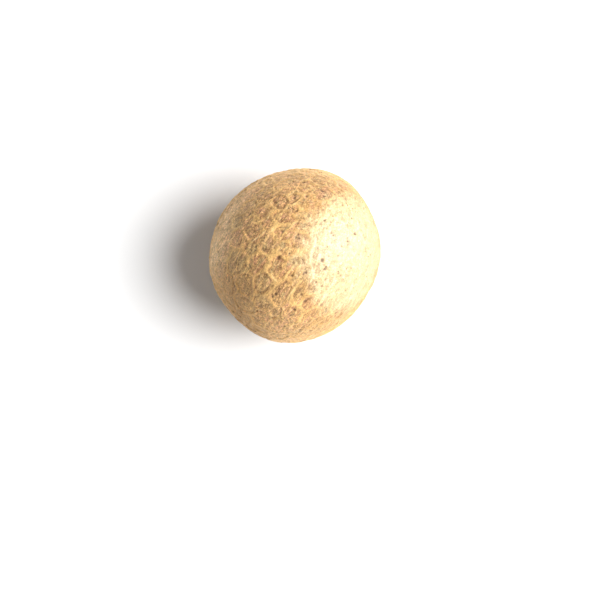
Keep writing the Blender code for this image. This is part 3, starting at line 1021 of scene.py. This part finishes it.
def toned(nodes, skin, calm, colours):
    """The skin made lighter and darker by its grains, less so on veins and near the painted
    highlight, lightened near it as painted highlight, and darkened by the painted shade of the
    broad areas.
    """
    tone = nodes.ramp(nodes.grain["speck"], *SPECK_BAND, colours.speck_low, colours.speck_high)
    for name, band in TONES.items():
        tone = nodes.times(tone, nodes.ramp(nodes.grain[name], *band))
    # Painted highlight: the skin lightened near the pale patch
    plain = nodes.ramp(nodes.highlight_wash, 0.0, 1.0, 0.0, 0.35)
    tone = nodes.math("ADD", plain, nodes.hushed(tone, 0.65))
    tone = nodes.math("SUBTRACT", tone, 1.0)
    tone = nodes.math("MULTIPLY_ADD", tone, nodes.math("ADD", calm, 0.15), 1.0)
    # Painted shade of the broad areas
    painted_shading = nodes.math("MULTIPLY_ADD", nodes.field("painted_shade"), -0.32, 1.0)
    node = nodes.add("ShaderNodeVectorMath", operation="SCALE")
    nodes.feed(node.inputs[0], skin)
    nodes.feed(node.inputs["Scale"], nodes.times(tone, painted_shading))
    return node.outputs[0]


def skin_material(settings, colours):
    """Dry matt skin: mottled cells under paler veins, with dark marks, grain and pores."""
    material = bpy.data.materials.new("nut_skin")
    nodes = SkinNodes(material)
    grain, shader = nodes.grain, nodes.shader
    highlight_patch = nodes.field("highlight_patch")
    frayed = frayed_edge(nodes)
    veined, covered = vein_cover(nodes, frayed)
    calm = nodes.math("SUBTRACT", 1.0, nodes.times(veined, 0.8))
    skin = nodes.mix(covered, cell_colour(nodes, colours), colours.vein)
    # Painted highlight: the pale patch where the key light falls
    skin = nodes.mix(nodes.times(highlight_patch, nodes.band(grain["blotch"], "highlight_patch")), skin, colours.highlight_patch)
    # Painted shade at the cells' edges, in furrows and moat, and the dark specks and threads
    skin = nodes.mix(dark_marks(nodes, frayed, calm), skin, colours.shade_and_specks)
    skin = toned(nodes, stained(nodes, skin, colours), calm, colours)
    pore = nodes.times(nodes.dots("pore"), nodes.band(grain["blotch"], "pore places"))
    dark = nodes.most(pore, nodes.times(nodes.field("pit"), 0.85))
    dark = nodes.most(dark, nodes.times(nodes.field("crack"), 0.8))
    nodes.feed(shader.inputs["Base Color"], nodes.mix(dark, skin, colours.pore))

    rough, spread = colours.roughness, 0.10
    rough = nodes.ramp(grain["speck"], *SPECK_BAND, rough - spread, rough + spread)
    rough = nodes.math("SUBTRACT", rough, nodes.times(highlight_patch, 0.20))
    nodes.feed(shader.inputs["Roughness"], rough)
    shader.inputs["Specular IOR Level"].default_value = colours.gloss
    shader.inputs["Sheen Weight"].default_value = colours.sheen
    shader.inputs["Sheen Roughness"].default_value = 0.5
    shader.inputs["Sheen Tint"].default_value = colours.dust

    rises = nodes.math("ADD", grain["speck"], nodes.times(grain["streak"], 0.8))
    rises = nodes.math("SUBTRACT", rises, nodes.times(pore, 0.8))
    normal = nodes.bump(rises, settings.bump_height)
    normal = nodes.bump(grain["fine"], settings.bump_height * 0.35, normal)
    nodes.feed(shader.inputs["Normal"], normal)
    return material


def number_property(name, description, default, **more):
    return FloatProperty(name=name, description=description, default=default, **more)


def length_property(name, description, default):
    return number_property(name, description, default, unit="LENGTH", precision=5)


def angle_property(name, description, degrees):
    return number_property(name, description, math.radians(degrees), subtype="ANGLE")


def share_property(name, description, default):
    return number_property(name, description, default, subtype="FACTOR", min=0.0, max=1.0)


def count_property(name, description, default):
    return IntProperty(name=name, description=description, default=default, min=0)


def colour_property(name, description, default):
    return FloatVectorProperty(
        name=name, description=description, default=(*default, 1.0), size=4,
        subtype="COLOR", min=0.0, max=1.0,
    )


class BetelNutSkinSettings(bpy.types.PropertyGroup):
    """Sizes of the skin's relief."""

    vein_half_width: length_property(
        "Vein half width", "From a vein's crest to its foot", 0.27 * MM
    )
    knot_swell: number_property("Knot swell", "How much wider veins are where they meet", 0.7)
    knot_reach: length_property(
        "Knot reach", "How far from a meeting point the veins are wider", 0.6 * MM
    )
    depth_share: share_property(
        "Cell depth", "Share of the solid's cell depth that the skin keeps", 0.68
    )
    wander: length_property("Wander", "How far the veins stray from straight lines", 0.50 * MM)
    fibre_height: length_property(
        "Fibre height", "Rise of the long fibres over the skin", 0.12 * MM
    )
    fibre_count: count_property(
        "Fibres", "Number of long fibres besides the ones that show from above", 500
    )
    furrow_depth: length_property(
        "Furrow depth", "Depth of the dark furrows beside the cells", 0.07 * MM
    )
    pit_depth: length_property("Pit depth", "Depth of the dark pits", 0.16 * MM)
    pit_count: count_property(
        "Pits", "Number of pits besides the ones that show from above", 420
    )
    grain_height: length_property(
        "Grain height", "Height of the coarse grain in the cells", 0.05 * MM
    )
    bump_height: length_property(
        "Fine grain height", "Height of the grain that is too fine for the mesh", 0.05 * MM
    )
    seed: count_property("Seed", "Start of the random draws", 5)


class BetelNutColours(bpy.types.PropertyGroup):
    """Colours and finish of the skin."""

    cell_light: colour_property("Light cell", "Lightest skin of the cells", (0.61, 0.332, 0.119))
    cell_dark: colour_property("Dark cell", "Darkest skin of the cells", (0.33, 0.164, 0.060))
    cell_red: colour_property("Red cell", "Reddish skin", (0.50, 0.247, 0.137))
    cell_green: colour_property("Green cell", "Grey-green skin", (0.41, 0.30, 0.14))
    vein: colour_property("Vein", "Veins and fibres", (0.77, 0.480, 0.172))
    hair: colour_property("Hair", "Palest fibres and hairs", (0.93, 0.70, 0.36))
    # Painted highlight over the smooth patch where the key light falls
    highlight_patch: colour_property("Patch", "Smooth pale patch", (0.80, 0.62, 0.37))
    # Painted shade at the cells' edges, in furrows and moat; also the dark specks and threads
    shade_and_specks: colour_property("Groove", "Rims of the cells beside the veins", (0.20, 0.10, 0.05))
    pore: colour_property("Pore", "Pores and pits", (0.07, 0.032, 0.018))
    # The scar's own brown, with painted shade in the hollow of the dish
    scar: colour_property("Scar", "Dish of the hilum", (0.34, 0.20, 0.10))
    # Painted rim light on the left flank
    pale_rim_light: colour_property("Bloom", "Paler skin of the left flank", (0.98, 0.74, 0.46))
    # Painted shade, browner, on the lower flank
    brown_shade: colour_property("Earth", "Browner skin of the lower flank", (0.47, 0.24, 0.07))
    dust: colour_property("Dust", "Dusty sheen at the edges", (1.0, 0.67, 0.35))
    speck_low: number_property("Darkest speck", "Tone of the darkest specks", 0.68)
    speck_high: number_property("Lightest speck", "Tone of the lightest specks", 1.30)
    roughness: share_property("Roughness", "Roughness of the dry skin", 0.62)
    gloss: share_property("Gloss", "Strength of the surface reflection", 0.30)
    sheen: share_property("Sheen", "Strength of the dusty bloom", 0.85)


class BetelNutStageSettings(bpy.types.PropertyGroup):
    """Floor, light and camera."""

    floor_size: length_property("Floor size", "Side of the floor", 30.0)
    floor_colour: colour_property("Floor", "Pale floor", (0.82, 0.82, 0.82))
    key_rise: angle_property("Key rise", "Height of the key light over the horizon", 48)
    key_heading: angle_property("Key heading", "Side that the key light comes from", 2)
    key_spread: angle_property(
        "Key spread", "Angle that the key light fills, which softens its shadow", 50
    )
    key_power: number_property("Key power", "Strength of the key light", 6.0)
    gleam_rise: angle_property(
        "Gleam rise", "Height over the horizon of the light that only gleams", 19
    )
    gleam_spread: angle_property("Gleam spread", "Angle that the gleaming light fills", 24)
    gleam_power: number_property("Gleam power", "Strength of the gleaming light", 3.0)
    world_light: number_property("Surround", "Strength of the light from all round", 0.30)
    camera_gap: length_property(
        "Camera gap", "Height of the camera over the nut's middle", 0.42
    )
    picture_side: length_property(
        "Picture side", "Width of the view at the nut's middle", 0.1088
    )
    camera_place: FloatVectorProperty(
        name="Camera place", description="Where the camera looks straight down, in plan",
        default=(0.91 * MM, -8.02 * MM), size=2, unit="LENGTH",
    )


class BETELNUT_OT_skin(bpy.types.Operator):
    """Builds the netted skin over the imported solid"""

    bl_idname = "betel_nut.skin"
    bl_label = "Build the skin"

    def execute(self, context):
        settings, colours = context.scene.betel_nut_skin, context.scene.betel_nut_colours
        data = skin_mesh(settings)
        data.materials.append(skin_material(settings, colours))
        piece = bpy.data.objects.new(SKIN, data)
        context.scene.collection.objects.link(piece)
        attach(piece, "root")
        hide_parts(NODE)
        return {"FINISHED"}


class BETELNUT_OT_stage(bpy.types.Operator):
    """Lays the floor, and sets the light and the camera"""

    bl_idname = "betel_nut.stage"
    bl_label = "Set the stage"

    def execute(self, context):
        settings = context.scene.betel_nut_stage
        add_floor(settings)
        add_light(settings)
        add_camera(settings)
        context.scene.view_settings.view_transform = "Standard"
        return {"FINISHED"}


def add_floor(settings):
    mesh = bmesh.new()
    bmesh.ops.create_grid(mesh, x_segments=1, y_segments=1, size=settings.floor_size / 2)
    data = bpy.data.meshes.new(FLOOR)
    mesh.to_mesh(data)
    mesh.free()
    floor = bpy.data.objects.new(FLOOR, data)
    bpy.context.scene.collection.objects.link(floor)
    material = bpy.data.materials.new(FLOOR)
    material.use_nodes = True
    shader = material.node_tree.nodes["Principled BSDF"]
    shader.inputs["Base Color"].default_value = settings.floor_colour
    shader.inputs["Roughness"].default_value = 0.9
    data.materials.append(material)


def add_sun(name, heading, rise, spread, power):
    """A far soft light that shines from a side and a height over the horizon."""
    lamp = bpy.data.lights.new(name, "SUN")
    lamp.angle = spread
    lamp.energy = power
    sun = bpy.data.objects.new(name, lamp)
    way = way_of(heading, rise)
    sun.location = MIDDLE + way
    sun.rotation_euler = way.to_track_quat("Z", "Y").to_euler()
    bpy.context.scene.collection.objects.link(sun)
    return sun


def add_light(settings):
    heading = settings.key_heading
    add_sun("key", heading, settings.key_rise, settings.key_spread, settings.key_power)
    gleam = add_sun(
        "gleam", heading, settings.gleam_rise, settings.gleam_spread, settings.gleam_power
    )
    gleam.visible_diffuse = False
    world = bpy.data.worlds.new("surround")
    world.use_nodes = True
    tree = world.node_tree
    background = tree.nodes["Background"]
    background.inputs["Color"].default_value = (1.0, 1.0, 1.0, 1.0)
    seen = tree.nodes.new("ShaderNodeLightPath")
    strength = tree.nodes.new("ShaderNodeMapRange")
    strength.inputs["To Min"].default_value = settings.world_light
    tree.links.new(seen.outputs["Is Camera Ray"], strength.inputs["Value"])
    tree.links.new(strength.outputs["Result"], background.inputs["Strength"])
    bpy.context.scene.world = world


def add_camera(settings):
    data = bpy.data.cameras.new("camera")
    data.lens = data.sensor_width * settings.camera_gap / settings.picture_side
    data.clip_start = 0.01
    data.clip_end = 100.0
    camera = bpy.data.objects.new("camera", data)
    camera.location = (*settings.camera_place, MIDDLE.z + settings.camera_gap)
    bpy.context.scene.collection.objects.link(camera)
    bpy.context.scene.camera = camera


class BETELNUT_PT_sidebar(bpy.types.Panel):
    """Sizes, colours and steps of the betel nut"""

    bl_idname = "BETELNUT_PT_sidebar"
    bl_label = "Betel nut"
    bl_space_type = "VIEW_3D"
    bl_region_type = "UI"
    bl_category = "Betel nut"

    def draw(self, context):
        layout = self.layout
        for operator, group in STEPS:
            settings = getattr(context.scene, group)
            for name in settings.bl_rna.properties.keys():
                if name not in ("rna_type", "name"):
                    layout.prop(settings, name)
            if operator:
                layout.operator(operator)


STEPS = (
    (None, "betel_nut_colours"),
    ("betel_nut.skin", "betel_nut_skin"),
    ("betel_nut.stage", "betel_nut_stage"),
)
CLASSES = (
    BetelNutSkinSettings,
    BetelNutColours,
    BetelNutStageSettings,
    BETELNUT_OT_skin,
    BETELNUT_OT_stage,
    BETELNUT_PT_sidebar,
)


def register():
    for item in CLASSES:
        bpy.utils.register_class(item)
    bpy.types.Scene.betel_nut_skin = PointerProperty(type=BetelNutSkinSettings)
    bpy.types.Scene.betel_nut_colours = PointerProperty(type=BetelNutColours)
    bpy.types.Scene.betel_nut_stage = PointerProperty(type=BetelNutStageSettings)


def unregister():
    del bpy.types.Scene.betel_nut_stage
    del bpy.types.Scene.betel_nut_colours
    del bpy.types.Scene.betel_nut_skin
    for item in reversed(CLASSES):
        bpy.utils.unregister_class(item)


def main():
    register()
    bpy.ops.betel_nut.skin()
    bpy.ops.betel_nut.stage()


if __name__ == "__main__":
    main()
